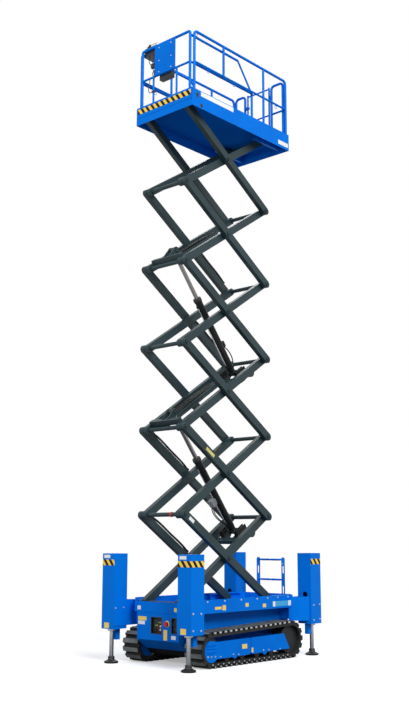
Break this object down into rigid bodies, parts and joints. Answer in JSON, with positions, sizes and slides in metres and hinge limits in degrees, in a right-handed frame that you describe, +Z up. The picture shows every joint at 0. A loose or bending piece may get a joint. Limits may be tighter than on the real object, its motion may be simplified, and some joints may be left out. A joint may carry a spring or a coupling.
{
  "type": "scissor lift",
  "caption": "Tracked scissor lift with outrigger legs, a stacked arm mast with lift rams, and a railed platform with sliding extension deck and rear gate.",
  "frame": {"origin": "middle of the machine on the ground", "axes": "+X to the control-panel end, +Y to the left side, +Z up"},
  "size_m": [2.886, 1.69, 9.2055],
  "materials": {
    "blue paint": "gloss",
    "dark block": "satin",
    "black plastic": "matte",
    "red plastic": "gloss",
    "chrome": "polished",
    "black rubber": "matte",
    "track rubber": "matte",
    "dark steel": "satin",
    "dark green paint": "satin",
    "black paint": "satin",
    "grey floor": "satin"
  },
  "bodies": {
    "chassis": {"chassis_tub": "blue paint", "chassis_body": "blue paint", "belly_pan": "black paint", "power_pack": "dark block", "control_panel": "black plastic", "emergency_stop": "red plastic", "base_slides": "blue paint", "outrigger_posts": "blue paint", "track_belts": "track rubber", "track_frames": "blue paint", "track_wheels": "dark steel", "ladder": "blue paint"},
    "leg_front_left": {"leg_rod_front_left": "chrome", "foot_pad_front_left": "black rubber"},
    "leg_front_right": {"leg_rod_front_right": "chrome", "foot_pad_front_right": "black rubber"},
    "leg_rear_left": {"leg_rod_rear_left": "chrome", "foot_pad_rear_left": "black rubber"},
    "leg_rear_right": {"leg_rod_rear_right": "chrome", "foot_pad_rear_right": "black rubber"},
    "inner_1": {"inner_arms_1": "dark green paint", "ram_mount_1": "dark green paint"},
    "outer_1": {"outer_arms_1": "dark green paint"},
    "inner_2": {"inner_arms_2": "dark green paint"},
    "outer_2": {"outer_arms_2": "dark green paint"},
    "inner_3": {"inner_arms_3": "dark green paint", "ram_mount_3": "dark green paint"},
    "outer_3": {"outer_arms_3": "dark green paint"},
    "inner_4": {"inner_arms_4": "dark green paint"},
    "outer_4": {"outer_arms_4": "dark green paint"},
    "inner_5": {"inner_arms_5": "dark green paint", "ram_mount_5": "dark green paint"},
    "outer_5": {"outer_arms_5": "dark green paint"},
    "inner_6": {"inner_arms_6": "dark green paint"},
    "outer_6": {"outer_arms_6": "dark green paint"},
    "ram_lower_barrel": {"ram_barrel_lower": "black paint"},
    "ram_lower_rod": {"ram_rod_lower": "chrome"},
    "ram_upper_barrel": {"ram_barrel_upper": "black paint"},
    "ram_upper_rod": {"ram_rod_upper": "chrome"},
    "platform": {"platform_frame": "blue paint", "platform_floor": "grey floor", "platform_slides": "blue paint", "main_rails": "blue paint"},
    "gate": {"gate": "blue paint"},
    "extension": {"extension_deck": "grey floor", "toe_plate": "blue paint", "extension_rails": "blue paint", "control_plate": "blue paint", "control_box": "black plastic", "document_box": "black plastic"}
  },
  "joints": [
    {"name": "lift", "type": "hinge", "parent": "chassis", "child": "inner_1", "pos_m": [1.1, 0, 0.812], "axis": [0, 1, 0], "range_deg": [-28.9, 9.3]},
    {"name": "centre_1", "type": "hinge", "parent": "inner_1", "child": "outer_1", "pos_m": [0.18793, 0, 1.40884], "axis": [0, 1, 0], "range_deg": [-19.1, 58.3]},
    {"name": "front_1", "type": "hinge", "parent": "outer_1", "child": "inner_2", "pos_m": [1.1, 0, 2.00569], "axis": [0, 1, 0], "range_deg": [-58.3, 19.1]},
    {"name": "centre_2", "type": "hinge", "parent": "inner_2", "child": "outer_2", "pos_m": [0.18793, 0, 2.60253], "axis": [0, 1, 0], "range_deg": [-19.1, 58.3]},
    {"name": "front_2", "type": "hinge", "parent": "outer_2", "child": "inner_3", "pos_m": [1.1, 0, 3.19938], "axis": [0, 1, 0], "range_deg": [-58.3, 19.1]},
    {"name": "centre_3", "type": "hinge", "parent": "inner_3", "child": "outer_3", "pos_m": [0.18793, 0, 3.79622], "axis": [0, 1, 0], "range_deg": [-19.1, 58.3]},
    {"name": "front_3", "type": "hinge", "parent": "outer_3", "child": "inner_4", "pos_m": [1.1, 0, 4.39306], "axis": [0, 1, 0], "range_deg": [-58.3, 19.1]},
    {"name": "centre_4", "type": "hinge", "parent": "inner_4", "child": "outer_4", "pos_m": [0.18793, 0, 4.98991], "axis": [0, 1, 0], "range_deg": [-19.1, 58.3]},
    {"name": "front_4", "type": "hinge", "parent": "outer_4", "child": "inner_5", "pos_m": [1.1, 0, 5.58675], "axis": [0, 1, 0], "range_deg": [-58.3, 19.1]},
    {"name": "centre_5", "type": "hinge", "parent": "inner_5", "child": "outer_5", "pos_m": [0.18793, 0, 6.1836], "axis": [0, 1, 0], "range_deg": [-19.1, 58.3]},
    {"name": "front_5", "type": "hinge", "parent": "outer_5", "child": "inner_6", "pos_m": [1.1, 0, 6.78044], "axis": [0, 1, 0], "range_deg": [-58.3, 19.1]},
    {"name": "centre_6", "type": "hinge", "parent": "inner_6", "child": "outer_6", "pos_m": [0.18793, 0, 7.37728], "axis": [0, 1, 0], "range_deg": [-19.1, 58.3]},
    {"name": "platform_level", "type": "hinge", "parent": "outer_6", "child": "platform", "pos_m": [1.1, 0, 7.97413], "axis": [0, 1, 0], "range_deg": [-29.4, 9.8]},
    {"name": "ram_lower_swing", "type": "hinge", "parent": "inner_1", "child": "ram_lower_barrel", "pos_m": [-0.40618, 0, 1.79761], "axis": [0, 1, 0], "range_deg": [-21.98, 67.26]},
    {"name": "ram_lower_slide", "type": "slide", "parent": "ram_lower_barrel", "child": "ram_lower_rod", "axis": [0.6284, 0, 0.7779], "range_m": [-0.577, 0.1891]},
    {"name": "ram_upper_swing", "type": "hinge", "parent": "inner_3", "child": "ram_upper_barrel", "pos_m": [-0.40618, 0, 4.18499], "axis": [0, 1, 0], "range_deg": [-21.98, 67.26]},
    {"name": "ram_upper_slide", "type": "slide", "parent": "ram_upper_barrel", "child": "ram_upper_rod", "axis": [0.6284, 0, 0.7779], "range_m": [-0.577, 0.1891]},
    {"name": "leg_front_left", "type": "slide", "parent": "chassis", "child": "leg_front_left", "axis": [0, 0, -1], "range_m": [-0.23, 0.25]},
    {"name": "leg_front_right", "type": "slide", "parent": "chassis", "child": "leg_front_right", "axis": [0, 0, -1], "range_m": [-0.23, 0.25]},
    {"name": "leg_rear_left", "type": "slide", "parent": "chassis", "child": "leg_rear_left", "axis": [0, 0, -1], "range_m": [-0.23, 0.25]},
    {"name": "leg_rear_right", "type": "slide", "parent": "chassis", "child": "leg_rear_right", "axis": [0, 0, -1], "range_m": [-0.23, 0.25]},
    {"name": "deck_slide", "type": "slide", "parent": "platform", "child": "extension", "axis": [1, 0, 0], "range_m": [0, 0.9]},
    {"name": "gate_swing", "type": "hinge", "parent": "platform", "child": "gate", "pos_m": [-1.111, -0.24, 8.5], "axis": [0, 0, -1], "range_deg": [0, 95]}
  ],
  "couplings": [
    {"joint": "centre_1", "follows": "lift", "ratio": -2},
    {"joint": "front_1", "follows": "lift", "ratio": 2},
    {"joint": "centre_2", "follows": "lift", "ratio": -2},
    {"joint": "front_2", "follows": "lift", "ratio": 2},
    {"joint": "centre_3", "follows": "lift", "ratio": -2},
    {"joint": "front_3", "follows": "lift", "ratio": 2},
    {"joint": "centre_4", "follows": "lift", "ratio": -2},
    {"joint": "front_4", "follows": "lift", "ratio": 2},
    {"joint": "centre_5", "follows": "lift", "ratio": -2},
    {"joint": "front_5", "follows": "lift", "ratio": 2},
    {"joint": "centre_6", "follows": "lift", "ratio": -2},
    {"joint": "platform_level", "follows": "lift", "ratio": 1},
    {"joint": "ram_lower_swing", "follows": "lift", "ratio": -2.31},
    {"joint": "ram_lower_slide", "follows": "lift", "m_per_rad": 1.134},
    {"joint": "ram_upper_swing", "follows": "lift", "ratio": -2.31},
    {"joint": "ram_upper_slide", "follows": "lift", "m_per_rad": 1.134}
  ]
}
